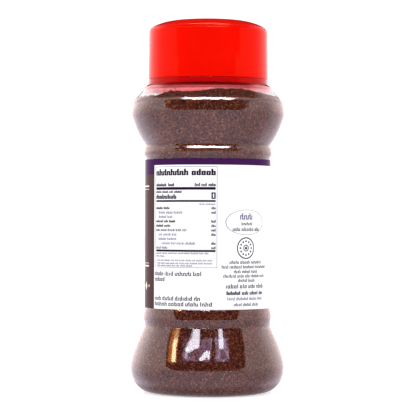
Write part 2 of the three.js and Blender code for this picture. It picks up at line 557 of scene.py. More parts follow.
def scatter(carrier, grain, count_per_mm2, sizes, tumble, seed):
    """Turns the carrier's faces into copies of a grain, scattered on them, as one mesh."""
    tree = bpy.data.node_groups.new(carrier.name, "GeometryNodeTree")
    for way in ("INPUT", "OUTPUT"):
        tree.interface.new_socket("Geometry", in_out=way, socket_type="NodeSocketGeometry")

    def add(kind, **inputs):
        node = tree.nodes.new(kind)
        for socket, value in inputs.items():
            socket = node.inputs[socket.replace("_", " ")]
            if isinstance(value, bpy.types.NodeSocket):
                tree.links.new(value, socket)
            else:
                socket.default_value = value
        return node

    start = tree.nodes.new("NodeGroupInput")
    places = {"Mesh": start.outputs[0], "Density": count_per_mm2 / MM**2, "Seed": seed}
    points = add("GeometryNodeDistributePointsOnFaces", **places)
    spin = add("FunctionNodeRandomValue", Seed=seed + 1)
    spin.data_type = "FLOAT_VECTOR"
    spin.inputs[1].default_value = (tumble, tumble, 2 * math.pi)
    size = add("FunctionNodeRandomValue", Seed=seed + 2)
    size.inputs[2].default_value, size.inputs[3].default_value = sizes
    turn = add("FunctionNodeRotateRotation", Rotation=points.outputs["Rotation"])
    turn.rotation_space = "LOCAL"
    tree.links.new(spin.outputs[0], turn.inputs[1])
    shape = add("GeometryNodeObjectInfo", Object=grain)
    copies = add(
        "GeometryNodeInstanceOnPoints",
        Points=points.outputs["Points"],
        Instance=shape.outputs["Geometry"],
        Rotation=turn.outputs[0],
        Scale=size.outputs[1],
    )
    real = add("GeometryNodeRealizeInstances", Geometry=copies.outputs[0])
    end = tree.nodes.new("NodeGroupOutput")
    tree.links.new(real.outputs[0], end.inputs[0])
    modifier = carrier.modifiers.new("scatter", "NODES")
    modifier.node_group = tree
    bpy.ops.object.modifier_apply(modifier="scatter")
    bpy.data.node_groups.remove(tree)
    carrier.data.materials.clear()
    return finished(carrier, 60)


# %% Crumbs on top and flakes at the wall
RIM_CLEAR = 1.2  # how far the loose grains stay from the wall
FLAKES_LOW, FLAKES_HIGH = 1.0, 100.0
FLAKE_SIZES = (0.5, 1.0)


def on_open_surface(face):
    away = math.hypot(face.center.x, face.center.y) / MM
    return on_surface(face) and away < outside_radius(face.center.z / MM) - RIM_CLEAR


def at_wall(face):
    return FLAKES_LOW < face.center.z / MM < FLAKES_HIGH and face.normal.z < 0.6


round_crumb = crumb("round_crumb", 0.8, 3)
flat_flake = crumb("flat_flake", 0.35, 8)
# For each: how many to a square millimetre, their sizes, how far they tumble, and the seed.
top = faces_of(powder, "loose_grains", on_open_surface)
loose_grains = scatter(top, round_crumb, 1.3, (0.4, 1.3), 2.4, 11)
wall_side = faces_of(powder, "wall_flakes", at_wall)
wall_flakes = scatter(wall_side, flat_flake, 0.03, FLAKE_SIZES, 0, 23)
wall_side = faces_of(powder, "pale_flakes", at_wall)
pale_flakes = scatter(wall_side, flat_flake, 0.0025, FLAKE_SIZES, 0, 41)

# %% [markdown]
# Above the powder the wall isn't clean: fine dust clings to its inside, all round the shoulder. It is
# scattered in the same way on a band turned from the jar's inner outline.

# %% Dust on the wall
DUST_LOW, DUST_HIGH = 101.5, 107.4
DUST_OFF = 0.1  # from the wall to the middle of a grain of dust
dusty = [(r, z) for r, z in jar_inside(WALL + DUST_OFF) if DUST_LOW < z < DUST_HIGH]
dust_band = turned("wall_dust", dusty, 96)
finished(dust_band)
in_order(dust_band)
wall_dust = scatter(dust_band, flat_flake, 2.0, (0.15, 0.45), 0, 57)
for spare in (round_crumb, flat_flake):
    bpy.data.objects.remove(spare)

# %% [markdown]
# ## The label
#
# The label is a printed plastic film, wrapped once round the waist, with its two ends glued over
# each other where the back meets the right side. Its fields are plain: a white panel for the small
# print, a dark plum field that takes up the rest, and a purple band along the top of all of it.
#
# An upright line is spun a little more than once round, so that the ends overlap. The end that lies
# on top is lifted by more than the film's thickness, and comes down to the jar over a few degrees.
# Spun in steps of one degree, the fields' edges fall on edges of the mesh, and each field gets its
# own material slot, so they stay sharp at any distance.

# %% The film
label_low, label_high = (corner.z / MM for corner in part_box("label"))
LABEL = 22.05  # radius of the film's printed side
FILM = 0.07
OVERLAP = 11  # degrees by which the ends overlap
LIFT = 0.09
RAMP = 4  # degrees over which the lifted end comes down
PANEL_LEFT, PANEL_RIGHT = -56, 130  # degrees to the right of the front
PANEL_TOP = 79.0
PURPLE_DOWN = 75.9  # the purple runs further down beside the panel
FIELDS = ("white_panel", "plum_field", "purple_band")


def spin_left(degrees, steps=None, **options):
    """Spins what is selected to the left, as seen from outside, by default in steps of a degree."""
    bpy.ops.mesh.spin(steps=steps or degrees, angle=math.radians(degrees), **AXIS, **options)


def on_label(right, height, radius=LABEL):
    """A place on the label, from its distance right of the front and its height."""
    turn = right / LABEL
    return radius * math.sin(turn), -radius * math.cos(turn), height


def thickened(piece, depth):
    """Gives a sheet its thickness, from its face inwards."""
    modifier = piece.modifiers.new("thickness", "SOLIDIFY")
    modifier.thickness = depth * MM
    modifier.offset = -1
    bpy.ops.object.modifier_apply(modifier="thickness")


film = new_piece("label_film")
first_point(*on_label(math.radians(PANEL_RIGHT) * LABEL, label_low, LABEL + LIFT))
for step in (PURPLE_DOWN - label_low, PANEL_TOP - PURPLE_DOWN, label_high - PANEL_TOP):
    extruded(0, 0, step)
bpy.ops.mesh.select_all(action="SELECT")
spin_left(OVERLAP + 1)
for degree in range(RAMP):
    spin_left(1)
    before, after = (LABEL + LIFT * (1 - (degree + i) / RAMP) for i in (0, 1))
    shrink = after / before
    bpy.ops.transform.resize(value=(shrink, shrink, 1), center_override=(0, 0, 0))
spin_left(360 - 1 - RAMP)


# %% Its fields
def field(face):
    """The number of the field that a face belongs to."""
    right = math.degrees(math.atan2(face.center.x, -face.center.y))
    height = face.center.z / MM
    lifted = math.hypot(face.center.x, face.center.y) > (LABEL + LIFT / 2) * MM
    under = PANEL_RIGHT - OVERLAP < right < PANEL_RIGHT and not lifted
    on_panel = PANEL_LEFT < right < PANEL_RIGHT and not under
    if height > PANEL_TOP or (height > PURPLE_DOWN and not on_panel):
        return FIELDS.index("purple_band")
    return FIELDS.index("white_panel" if on_panel else "plum_field")


bpy.ops.object.mode_set(mode="OBJECT")
for name in FIELDS:
    film.data.materials.append(bpy.data.materials.new(name))
for face in film.data.polygons:
    face.material_index = field(face)
thickened(film, FILM)
finished(film)
for number, name in enumerate(FIELDS):
    print(name, "faces:", sum(face.material_index == number for face in film.data.polygons))
print("label radius in mm:", round(max(math.hypot(v.co.x, v.co.y) for v in film.data.vertices) / MM, 3))

# %% [markdown]
# ## The print
#
# The small print says nothing here. Every line of it is a row of plain upright strokes, as a
# designer's dummy text is, at the height, weight and length of the real lines, between plain rules.
# So the label looks as busy as the real one, and carries no words, names or marks.
#
# Ink could be a pattern in the film's material, but strokes a tenth of a millimetre wide stay
# sharper as thin pieces of their own, a hair above the film. A bar is an upright edge, spun to the
# left about the jar's axis. A word is one stroke that the same spin repeats.

# %% Bars and words
INK = LABEL + 0.02  # radius of the ink's face
INK_DEEP = 0.03
BAR_STEP = 3  # degrees to a step of a long bar
dice = random.Random(7)
# As shares of a word's height: from one upright to the next, the short uprights, and their joins.
UPRIGHT_PITCH, SHORT_UPRIGHT, JOIN = 0.4, 0.68, 0.17
# In the same way: a line's foot below its middle, the lengths of its words, the space between
# them, what is too short for a word, and what is too short for the last word.
FOOT, LENGTHS, SPACE, NO_ROOM, LEFT_OVER = 0.45, (1.8, 4.2), 0.5, 1.2, 1.6


def bar(left, right, low, high):
    """A plain bar on the label, in millimetres right of the front and above the foot."""
    first_point(*on_label(right, low, INK))
    extruded(0, 0, high - low)
    bpy.ops.mesh.select_linked()
    wide = math.degrees((right - left) / LABEL)
    spin_left(wide, math.ceil(wide / BAR_STEP))


def repeated(left, right, low, high, shift, times):
    """A bar, and the same bar again a number of times, each a shift further left."""
    bar(left, right, low, high)
    if times > 0:
        bpy.ops.mesh.select_linked()
        spin_left(math.degrees(shift * times / LABEL), times, dupli=True)


def word(left, right, low, tall, weight):
    """Dummy text: uprights, some of them taller, and some joined at the top or the foot."""
    line = weight * UPRIGHT_PITCH * tall
    gaps = max(1, round((right - left - line) / (UPRIGHT_PITCH * tall)))
    pitch = (right - left - line) / gaps
    middle = low + SHORT_UPRIGHT * tall
    thin = JOIN * tall
    repeated(right - line, right, low, middle, pitch, gaps)
    first, apart = dice.choice((0, 1, 2)), dice.choice((3, 4, 5))
    if first <= gaps:
        end = right - first * pitch
        repeated(end - line, end, low, low + tall, apart * pitch, (gaps - first) // apart)
    for height in (low, middle - thin):
        first, apart = dice.choice((0, 1)), dice.choice((2, 3))
        if first < gaps:
            end = right - first * pitch
            times = (gaps - 1 - first) // apart
            repeated(end - pitch - line, end, height, height + thin, apart * pitch, times)


def text_line(left, right, middle, tall, weight):
    """A line of dummy words of uneven length."""
    low = middle - FOOT * tall
    while right - left > NO_ROOM * tall:
        end = min(left + tall * dice.uniform(*LENGTHS), right)
        if right - end < LEFT_OVER * tall:
            end = right
        word(left, end, low, tall, weight)
        left = end + SPACE * tall


def inked(piece, name):
    """Gives a sheet of ink its little thickness."""
    bpy.ops.object.mode_set(mode="OBJECT")
    piece.data.materials.append(bpy.data.materials.new(name))
    thickened(piece, INK_DEEP)
    return finished(piece)


# %% [markdown]
# The left block of the panel is a table: a heavy heading, rows with a short mark at the right end,
# thick rules between its parts, and fine notes at its foot. A thin pale frame goes round it.

# %% The table
TABLE_LEFT, TABLE_RIGHT = -20.3, 2.75
INDENT, DEEPER = -19.0, -17.4  # left ends of the indented rows
MARK_LEFT = 1.3  # the short marks at the right end of the rows
MARK_FOOT = 0.45  # below the row's middle
ROW_HIGH, ROW_PITCH, ROW_TALL = 64.3, 1.5, 0.95
HEADING_LOW, HEADING_TALL = 75.4, 2.2
BOX_LOW, BOX_HIGH = 67.4, 69.6  # the large mark is a plain upright box
BOX_LINE, BOX_SIDE = 0.4, 0.5
LIGHT, PLAIN, BOLD, HEAVY = 0.4, 0.5, 0.76, 0.76
ROWS = [  # left end, right end, weight, whether it has a mark
    (TABLE_LEFT, -13.9, BOLD, True),
    (INDENT, -8.8, LIGHT, True),
    (INDENT, -12.7, LIGHT, False),
    (TABLE_LEFT, -11.5, BOLD, True),
    (TABLE_LEFT, -13.5, BOLD, True),
    (TABLE_LEFT, -7.3, PLAIN, True),
    (INDENT, -11.1, LIGHT, True),
    (INDENT, -11.1, LIGHT, False),
    (DEEPER, -4.2, LIGHT, True),
    (TABLE_LEFT, -14.8, PLAIN, True),
]
THICK_RULES = [(70.5, 71.4), (66.35, 67.0), (49.4, 50.1)]

dark_ink = new_piece("dark_ink")
for left, right in ((TABLE_LEFT, -6.7), (-5.5, TABLE_RIGHT)):
    word(left, right, HEADING_LOW, HEADING_TALL, HEAVY)
# The row under the heading, in two parts.
for left, right in ((TABLE_LEFT, -15.3), (-14.5, -12.0), (-4.4, -2.6), (-2.1, -0.3), (0.3, TABLE_RIGHT)):
    word(left, right, 71.7, 1.1, BOLD)
for low, high in THICK_RULES:
    bar(TABLE_LEFT, TABLE_RIGHT, low, high)
text_line(TABLE_LEFT, -9.1, 69.8, 0.85, BOLD)
word(TABLE_LEFT, -11.1, BOX_LOW, 1.6, BOLD)
for low in (BOX_LOW, BOX_HIGH - BOX_LINE):
    bar(MARK_LEFT, TABLE_RIGHT, low, low + BOX_LINE)
for left in (MARK_LEFT, TABLE_RIGHT - BOX_SIDE):
    bar(left, left + BOX_SIDE, BOX_LOW, BOX_HIGH)
for number, (left, right, weight, marked) in enumerate(ROWS):
    middle = ROW_HIGH - number * ROW_PITCH
    if weight != LIGHT:
        text_line(left, right, middle, ROW_TALL, weight)
    if marked:
        word(MARK_LEFT, TABLE_RIGHT, middle - MARK_FOOT, ROW_TALL, BOLD)
print("rows in the table:", len(ROWS))

# %% [markdown]
# Below the table stand two short paragraphs, and the right block is a centred column of lines, the
# last few of them larger. All of it is the same dummy text.

# %% The paragraphs
SMALL, READING = 1.15, 1.5  # heights of the two sizes of print
COLUMN = [  # left end, right end, height of the middle, size, weight
    (7.7, 21.5, 45.9, SMALL, PLAIN),
    (4.9, 24.4, 44.3, SMALL, PLAIN),
    (9.3, 19.4, 42.7, SMALL, PLAIN),
    (5.5, 23.6, 41.2, SMALL, PLAIN),
    (10.9, 18.1, 39.7, SMALL, PLAIN),
    (6.4, 22.9, 37.7, 1.5, PLAIN),
    (6.6, 22.5, 35.4, 1.35, BOLD),
    (9.3, 20.0, 31.5, SMALL, PLAIN),
]
PARAGRAPHS = [
    (-20.9, -2.1, 41.9, READING, PLAIN),
    (-20.9, -16.0, 40.0, READING, PLAIN),
    (-20.9, -2.5, 33.5, READING, PLAIN),
    (-20.9, 1.6, 31.6, READING, PLAIN),
]
IN_THE_OVAL = [(12.2, 16.8, 59.0, SMALL, PLAIN), (8.8, 20.2, 57.1, 1.3, PLAIN)]
for line in PARAGRAPHS + COLUMN + IN_THE_OVAL:
    text_line(*line)
print("lines beside and below it:", len(PARAGRAPHS + COLUMN + IN_THE_OVAL))

# %% [markdown]
# A round mark stands above the column. Here it is a plain rosette: a ring, a small disc and dots
# round it. The flat pieces are drawn facing the front, and a Shrinkwrap modifier lays them on the
# label before they are turned to their place.


# %% Rings and dots
def ring_mark(radius, line, steps=64):
    """A flat ring round the point (0, -INK, 0), drawn as a short edge that is spun."""
    first_point(radius, -INK, 0)
    extruded(-line, 0, 0)
    bpy.ops.mesh.select_linked()
    centre = (0, -INK * MM, 0)
    bpy.ops.mesh.spin(steps=steps, angle=2 * math.pi, center=centre, axis=(0, 1, 0))
    bpy.ops.mesh.select_linked()
    bpy.ops.mesh.remove_doubles(threshold=WELD)


def dots(count, radius, away):
    """Small round dots in a ring round the same point."""
    bpy.ops.mesh.select_all(action="DESELECT")
    bpy.ops.mesh.primitive_circle_add(
        vertices=10, radius=radius * MM, fill_type="NGON", rotation=(math.pi / 2, 0, 0),
        location=(away * MM, -INK * MM, 0),
    )  # fmt: skip
    if count > 1:
        centre = (0, -INK * MM, 0)
        turn = 2 * math.pi * (1 - 1 / count)
        bpy.ops.mesh.spin(steps=count - 1, angle=turn, dupli=True, center=centre, axis=(0, 1, 0))


def laid_on_label(piece, right, height):
    """Wraps a flat mark round the label and turns it to its place."""
    bpy.ops.mesh.select_all(action="SELECT")
    bpy.ops.transform.translate(value=(0, 0, height * MM))
    bpy.ops.object.mode_set(mode="OBJECT")
    wrap = piece.modifiers.new("wrap", "SHRINKWRAP")
    wrap.target = film
    wrap.wrap_method = "NEAREST_SURFACEPOINT"
    wrap.wrap_mode = "ABOVE_SURFACE"
    wrap.offset = (INK - LABEL) * MM
    bpy.ops.object.modifier_apply(modifier="wrap")
    bpy.ops.object.mode_set(mode="EDIT")
    bpy.ops.mesh.select_all(action="SELECT")
    bpy.ops.transform.rotate(value=-right / LABEL, orient_axis="Z", center_override=(0, 0, 0))
    bpy.ops.object.mode_set(mode="OBJECT")


def joined(whole, part):
    """Adds one object's mesh to another's."""
    bpy.ops.object.select_all(action="DESELECT")
    part.select_set(True)
    whole.select_set(True)
    bpy.context.view_layer.objects.active = whole
    bpy.ops.object.join()
    bpy.ops.object.mode_set(mode="EDIT")


# %% The round mark
bpy.ops.object.mode_set(mode="OBJECT")
rosette = new_piece("rosette")
ring_mark(3.7, 0.38)
ring_mark(1.15, 0.3)
dots(12, 0.34, 2.35)
dots(1, 0.5, 0)
laid_on_label(rosette, 14.1, 50.7)
joined(dark_ink, rosette)
inked(dark_ink, "dark_ink")

# %% [markdown]
# The lightest lines are printed in a pale lilac of their own: the frame round the table, its
# indented rows and fine notes, a wide thin oval above the round mark with a short line in it, and
# one line of the column.

# %% The pale ink
FRAME_LEFT, FRAME_RIGHT, FRAME_LOW, FRAME_HIGH = -20.9, 3.3, 44.0, 78.4
HAIR = 0.14
FINE = 0.65  # height of the finest print
FINE_NOTES = [  # left end, right end, height of the middle
    (TABLE_LEFT, 0.3, 48.9), (TABLE_LEFT, -16.1, 47.9), (-19.8, 1.6, 46.5), (-19.8, 1.6, 45.5),
    (-19.8, -5.2, 44.7),
]  # fmt: skip

pale_ink = new_piece("pale_ink")
for low in (FRAME_LOW, FRAME_HIGH - HAIR):
    bar(FRAME_LEFT, FRAME_RIGHT, low, low + HAIR)
for left in (FRAME_LEFT, FRAME_RIGHT - HAIR):
    bar(left, left + HAIR, FRAME_LOW, FRAME_HIGH)
for number, (left, right, weight, marked) in enumerate(ROWS):
    if weight == LIGHT:
        text_line(left, right, ROW_HIGH - number * ROW_PITCH, ROW_TALL, PLAIN)
for left, right, middle in [(-2.8, 2.6, 65.6)] + FINE_NOTES:
    text_line(left, right, middle, FINE, PLAIN)
text_line(11.6, 16.9, 61.4, 2.2, PLAIN)
text_line(6.9, 22.2, 33.5, SMALL, PLAIN)

bpy.ops.object.mode_set(mode="OBJECT")
oval = new_piece("oval")
ring_mark(4.3, 0.12, 96)
bpy.ops.mesh.select_all(action="SELECT")
bpy.ops.transform.resize(value=(2.0, 1, 1), center_override=(0, -INK * MM, 0))
laid_on_label(oval, 14.4, 59.5)
joined(pale_ink, oval)
inked(pale_ink, "pale_ink")

# %% [markdown]
# The photograph doesn't show the label's main side. It is finished plainly, in pale ink on the plum
# field: a blank plate between double rules, with a row of diamonds under it and a rosette over it.

# %% The main side
MAIN = -math.radians(143) * LABEL  # the middle of the plum field
PLATE_HALF = 15.0
PLATE_LOW, PLATE_HIGH = 50.0, 66.0
BORDER_HALF = PLATE_HALF + 1.6  # a fine line goes round the plate
BORDER_LOW, BORDER_HIGH, BORDER_LINE = 48.6, 67.45, 0.25
RULE_HALF = 29.5
DOUBLE_RULES = [(71.6, 72.1), (70.7, 70.9), (45.2, 45.4), (44.1, 44.6)]
DIAMOND_PITCH, DIAMOND_ROW = 5.4, 37.5

cream_ink = new_piece("cream_ink")
bar(MAIN - PLATE_HALF, MAIN + PLATE_HALF, PLATE_LOW, PLATE_HIGH)
for low, high in DOUBLE_RULES:
    bar(MAIN - RULE_HALF, MAIN + RULE_HALF, low, high)
for low in (BORDER_LOW, BORDER_HIGH - BORDER_LINE):
    bar(MAIN - BORDER_HALF, MAIN + BORDER_HALF, low, low + BORDER_LINE)
for left in (MAIN - BORDER_HALF, MAIN + BORDER_HALF - BORDER_LINE):
    bar(left, left + BORDER_LINE, BORDER_LOW, BORDER_HIGH)


def diamond(right, middle, half):
    """An upright diamond: a circle of four points, narrowed and turned to its place."""
    bpy.ops.mesh.select_all(action="DESELECT")
    bpy.ops.mesh.primitive_circle_add(
        vertices=4, radius=half * MM, fill_type="NGON", rotation=(math.pi / 2, 0, 0),
        location=(0, -INK * MM, middle * MM),
    )  # fmt: skip
    bpy.ops.transform.resize(value=(0.7, 1, 1), center_override=(0, -INK * MM, middle * MM))
    bpy.ops.transform.rotate(value=-right / LABEL, orient_axis="Z", center_override=(0, 0, 0))


for number in range(-5, 6):
    diamond(MAIN + DIAMOND_PITCH * number, DIAMOND_ROW, 1.5)
    diamond(MAIN + DIAMOND_PITCH * (number + 0.5), DIAMOND_ROW, 0.6)
bpy.ops.object.mode_set(mode="OBJECT")
ornament = new_piece("ornament")
ring_mark(1.5, 0.25)
dots(8, 0.3, 0.85)
laid_on_label(ornament, MAIN, 74.0)
joined(cream_ink, ornament)
inked(cream_ink, "cream_ink")

# %% [markdown]
# ## The cap and its ring
#
# The cap is moulded in red plastic: a smooth skirt that narrows a little upwards, a crease, and a
# low crown that arcs in to a level middle, where a faint disc marks the place that the plastic was
# let in. Below the skirt shows a narrow ring of the same plastic, its darker red painted shade.
#
# Both are turned from an outline, as the jar is. The cap's goes up the inside, down inside the
# skirt, round its lower edge and up over the crown, so the piece is closed all over.

# %% The cap
CAP_BORE = 19.3
CAP_ROOF = 126.4
CAP_RADIUS = 21.0
SKIRT_TOP = 20.8
CROWN_FLAT = 11.2  # radius of the level middle
CROWN_ARC = 17.4
EDGE = 0.3
GATE = 1.4  # radius of the disc in the middle of the crown
GATE_HIGH = 0.1
skirt_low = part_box("cap")[0].z / MM
cap_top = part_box("cap")[1].z / MM - GATE_HIGH - 0.001  # just inside the solid

steepest = math.degrees(math.asin((SKIRT_TOP - CROWN_FLAT) / CROWN_ARC))
crown = arc((CROWN_FLAT, cap_top - CROWN_ARC), CROWN_ARC, 90 - steepest, 90, 30)
crease = crown[0]
# The skirt stays straight up to the corner, which is rounded and runs into the crown.
corner = [
    (SKIRT_TOP + 0.03, crease[1] - 3.0), (SKIRT_TOP, crease[1] - 1.3),
    (SKIRT_TOP - 0.14, crease[1] - 0.6), (SKIRT_TOP - 0.55, crease[1] - 0.05), crown[3],
]  # fmt: skip
cap_outline = (
    [(0.0, CAP_ROOF), (CAP_BORE, CAP_ROOF)]
    + arc((CAP_BORE + EDGE, skirt_low + EDGE), EDGE, 180, 270, 4)
    + arc((CAP_RADIUS - EDGE, skirt_low + EDGE), EDGE, 270, 360, 5)
    + [(CAP_RADIUS - 0.005, skirt_low + 2 * EDGE)]
    + smooth_through(corner, 4)
    + crown[4:]
    + [(GATE + 0.15, cap_top), (GATE, cap_top + GATE_HIGH), (0.0, cap_top + GATE_HIGH)]
)
cap = finished(turned("cap_shell", cap_outline, 180), 25)

# %% The ring under the cap
BAND = 20.95
BAND_TOP = skirt_low + 0.02  # it just touches the skirt
SEAM = 0.22  # the fine groove between ring and skirt
# The ring's underside, pressed a little way into the shoulder: it follows the shoulder's slope.
UNDERSIDE = [(CAP_BORE, 107.6), (20.4, 107.45), (BAND, 107.2)]

band_outline = (
    UNDERSIDE
    + [(BAND, BAND_TOP - 0.45), (BAND - 0.08, BAND_TOP - 0.3), (BAND - SEAM, BAND_TOP - 0.22)]
    + [(BAND - SEAM, BAND_TOP), (CAP_BORE, BAND_TOP), UNDERSIDE[0]]
)
band = finished(turned("cap_ring", band_outline, 180, ring=True), 40)

# %% [markdown]
# ## Materials
#
# Every finish is made of nodes. A few short helpers keep that readable: one starts a material, one
# adds a node with its sockets filled, and one makes a bump out of cloudy noise.
#
# All patterns read Object coordinates in metres, so a scale of 1000 gives waves a millimetre long.

# %% Node helpers
PER_MM = 1000


def painted(name):
    """A material of that name, its shader, and the place on the piece as a socket."""
    material = bpy.data.materials.get(name) or bpy.data.materials.new(name)
    material.use_nodes = True
    tree = material.node_tree
    shader = tree.nodes["Principled BSDF"]
    place = tree.nodes.new("ShaderNodeTexCoord").outputs["Object"]
    return material, tree, shader, place


def node(tree, kind, inputs, **settings):
    """A shader node with its settings, and its sockets given values or links."""
    made = tree.nodes.new("ShaderNode" + kind)
    for setting, value in settings.items():
        setattr(made, setting, value)
    for socket, value in inputs.items():
        if isinstance(value, bpy.types.NodeSocket):
            tree.links.new(value, made.inputs[socket])
        else:
            made.inputs[socket].default_value = value
    return made


def maths(tree, operation, *values):
    """One sum on numbers or sockets."""
    return node(tree, "Math", dict(enumerate(values)), operation=operation).outputs[0]


def cloud(tree, place, millimetres, detail=2.0):
    """Cloudy noise between 0 and 1, with waves of a given length."""
    inputs = {"Vector": place, "Scale": PER_MM / millimetres, "Detail": detail}
    return node(tree, "TexNoise", inputs).outputs["Fac"]


def ramp(tree, factor, stops):
    """A colour for every value between 0 and 1, from stops of place and colour."""
    made = node(tree, "ValToRGB", {"Fac": factor})
    elements = made.color_ramp.elements
    for _ in stops[2:]:
        elements.new(0.5)
    for element, (place, colour) in zip(elements, stops):
        element.position = place
        element.color = (*colour, 1)
    return made.outputs["Color"]


def mapped(tree, value, start, end, low=0.0, high=1.0, way="LINEAR"):
    """A value between start and end, stretched to lie between low and high and held there."""
    inputs = {"Value": value, "From Min": start, "From Max": end, "To Min": low, "To Max": high}
    return node(tree, "MapRange", inputs, interpolation_type=way).outputs["Result"]


def spread(tree, factor, low, high):
    """Noise, which seldom leaves the middle of 0 to 1, stretched to a range."""
    return mapped(tree, factor, 0.3, 0.7, low, high)


def bump(tree, height, millimetres, under=None):
    """A bump of a given depth, on top of another if there is one."""
    inputs = {"Height": height, "Distance": millimetres * MM, "Strength": 1.0}
    if under:
        inputs["Normal"] = under
    return node(tree, "Bump", inputs).outputs["Normal"]


# %% [markdown]
# ### Clear plastic
#
# The blown plastic is clear and glossy. Its skin isn't quite even: long shallow waves wander through
# it and bend the reflections, and the gloss is a little softer in some places than in others. Close
# under the cap the plastic is painted red, as painted light for the red that the cap throws into the neck.

# %% Clear plastic
CLEAR_INDEX = 1.575
# The red near the cap is painted light: it stands for the red that the cap throws down into the clear
# plastic.
CLEAR, PAINTED_CAP_RED = (0.985, 0.985, 0.99), (0.96, 0.10, 0.13)
PAINTED_RED_LOW, PAINTED_RED_HIGH = 104.5, 106.4  # heights between which the cap's red comes in

blown_plastic, tree, shader, place = painted("blown_plastic")
height = node(tree, "SeparateXYZ", {"Vector": place}).outputs["Z"]
painted_red_share = mapped(tree, height, PAINTED_RED_LOW * MM, PAINTED_RED_HIGH * MM)
plastic = ramp(tree, painted_red_share, [(0.0, CLEAR), (1.0, PAINTED_CAP_RED)])
tree.links.new(plastic, shader.inputs["Base Color"])
shader.inputs["Transmission Weight"].default_value = 1.0
shader.inputs["IOR"].default_value = CLEAR_INDEX
tree.links.new(spread(tree, cloud(tree, place, 5), 0.01, 0.04), shader.inputs["Roughness"])
waves = bump(tree, cloud(tree, place, 14, 0), 0.12)
ripples = bump(tree, cloud(tree, place, 4, 0), 0.004, waves)
tree.links.new(ripples, shader.inputs["Normal"])
jar.data.materials.append(blown_plastic)
print("nodes of the clear plastic:", len(tree.nodes))

# %% [markdown]
# ### Ground cloves
#
# Seen close, the powder isn't one brown. Most grains are dark red-brown, some are nearly black, some
# are rust, and a few are tan bits of the bud's pale inside. Small cells give every grain its own
# colour, and a slow cloud drifts the whole a little lighter and darker. The browns are set brighter
# than they look, because what touches the inside of clear plastic is seen much darker through it.

# %% Ground cloves
GRAIN_COLOURS = [
    (0.00, (0.036, 0.009, 0.006)),
    (0.35, (0.096, 0.019, 0.011)),
    (0.70, (0.180, 0.038, 0.020)),
    (0.92, (0.300, 0.082, 0.045)),
    (1.00, (0.480, 0.200, 0.125)),
]
FLAKE_COLOURS = [(0.0, (0.02, 0.009, 0.007)), (0.6, (0.06, 0.02, 0.013)), (1.0, (0.42, 0.16, 0.08))]
PALE_COLOURS = [(0.0, (0.20, 0.10, 0.07)), (1.0, (0.36, 0.24, 0.17))]
# The dust is pinker than the powder: its own brown, with painted red light from the cap over it.
DUST_AND_PAINTED_RED_COLOURS = [(0.0, (0.16, 0.05, 0.045)), (0.6, (0.30, 0.12, 0.11)), (1.0, (0.50, 0.26, 0.24))]
GRAIN_DEEP = 0.05  # how far a grain stands out
GRIT, GRIT_DEEP = 0.3, 0.04  # what is finer than the grains


def powder_paint(name, grain, colours, lightness):
    """Grains of many browns, the same finish for the powder and what is loose in it."""
    material, tree, shader, place = painted(name)
    cells = node(tree, "TexVoronoi", {"Vector": place, "Scale": PER_MM / grain})
    shade = node(tree, "SeparateColor", {"Color": cells.outputs["Color"]}).outputs[0]
    drift = spread(tree, cloud(tree, place, 9), lightness[0], lightness[1])
    drifted = node(tree, "Mix", {"Factor": 1.0}, data_type="RGBA", blend_type="MULTIPLY")
    tree.links.new(ramp(tree, shade, colours), drifted.inputs[6])
    tree.links.new(drift, drifted.inputs[7])
    tree.links.new(drifted.outputs[2], shader.inputs["Base Color"])
    tree.links.new(spread(tree, cells.outputs["Distance"], 0.8, 1.0), shader.inputs["Roughness"])
    shader.inputs["Specular IOR Level"].default_value = 0.05
    rough = bump(tree, cells.outputs["Distance"], GRAIN_DEEP)
    grit = bump(tree, cloud(tree, place, GRIT, 3), GRIT_DEEP, rough)
    tree.links.new(grit, shader.inputs["Normal"])
    return material


for piece, name, grain, colours, lightness in (
    (powder, "clove_grains", 0.31, GRAIN_COLOURS, (0.88, 1.12)),
    (loose_grains, "loose_crumbs", 1.6, GRAIN_COLOURS, (0.8, 1.2)),
    (wall_flakes, "dark_flakes", 2.3, FLAKE_COLOURS, (0.9, 1.1)),
    (pale_flakes, "pale_flakes", 3.1, PALE_COLOURS, (0.9, 1.1)),
    (wall_dust, "clinging_dust_painted_red", 0.9, DUST_AND_PAINTED_RED_COLOURS, (0.9, 1.1)),
):
    piece.data.materials.append(powder_paint(name, grain, colours, lightness))
    print(piece.name, "is coloured in grains of", grain, "mm")


# %% [markdown]
# ### Printed film
#
# The film is glossy print on plastic. Its sheen has a fine orange-peel and slow waves where it was
# drawn tight round the waist. The white is a cool one, and the inks lie a little duller on it. The
# sheen is kept weak, because the bright room that it mirrors would wash out the print.


# %% Printed film
def film_paint(name, colour, change, roughness):
    """An ink on film: nearly even, with a faint mottle and a soft, slightly wavy sheen."""
    material, tree, shader, place = painted(name)
    darker = tuple(channel * (1 - change) for channel in colour)
    mottle = ramp(tree, cloud(tree, place, 1.3, 4), [(0.3, darker), (0.7, colour)])
    tree.links.new(mottle, shader.inputs["Base Color"])
    gloss = spread(tree, cloud(tree, place, 6), roughness * 0.85, roughness * 1.15)
    tree.links.new(gloss, shader.inputs["Roughness"])
    shader.inputs["Specular IOR Level"].default_value = 0.01
    waves = bump(tree, cloud(tree, place, 14, 1), 0.05)
    tree.links.new(bump(tree, cloud(tree, place, 0.35), 0.0015, waves), shader.inputs["Normal"])
    return material


for ink in (
    ("white_panel", (0.77, 0.77, 0.79), 0.015, 0.2),
    ("plum_field", (0.066, 0.034, 0.034), 0.08, 0.14),
    ("purple_band", (0.040, 0.009, 0.062), 0.06, 0.12),
    ("dark_ink", (0.018, 0.011, 0.028), 0.2, 0.3),
    ("pale_ink", (0.14, 0.11, 0.23), 0.1, 0.3),
    ("cream_ink", (0.72, 0.66, 0.60), 0.05, 0.3),
):
    print("painted:", film_paint(*ink).name)
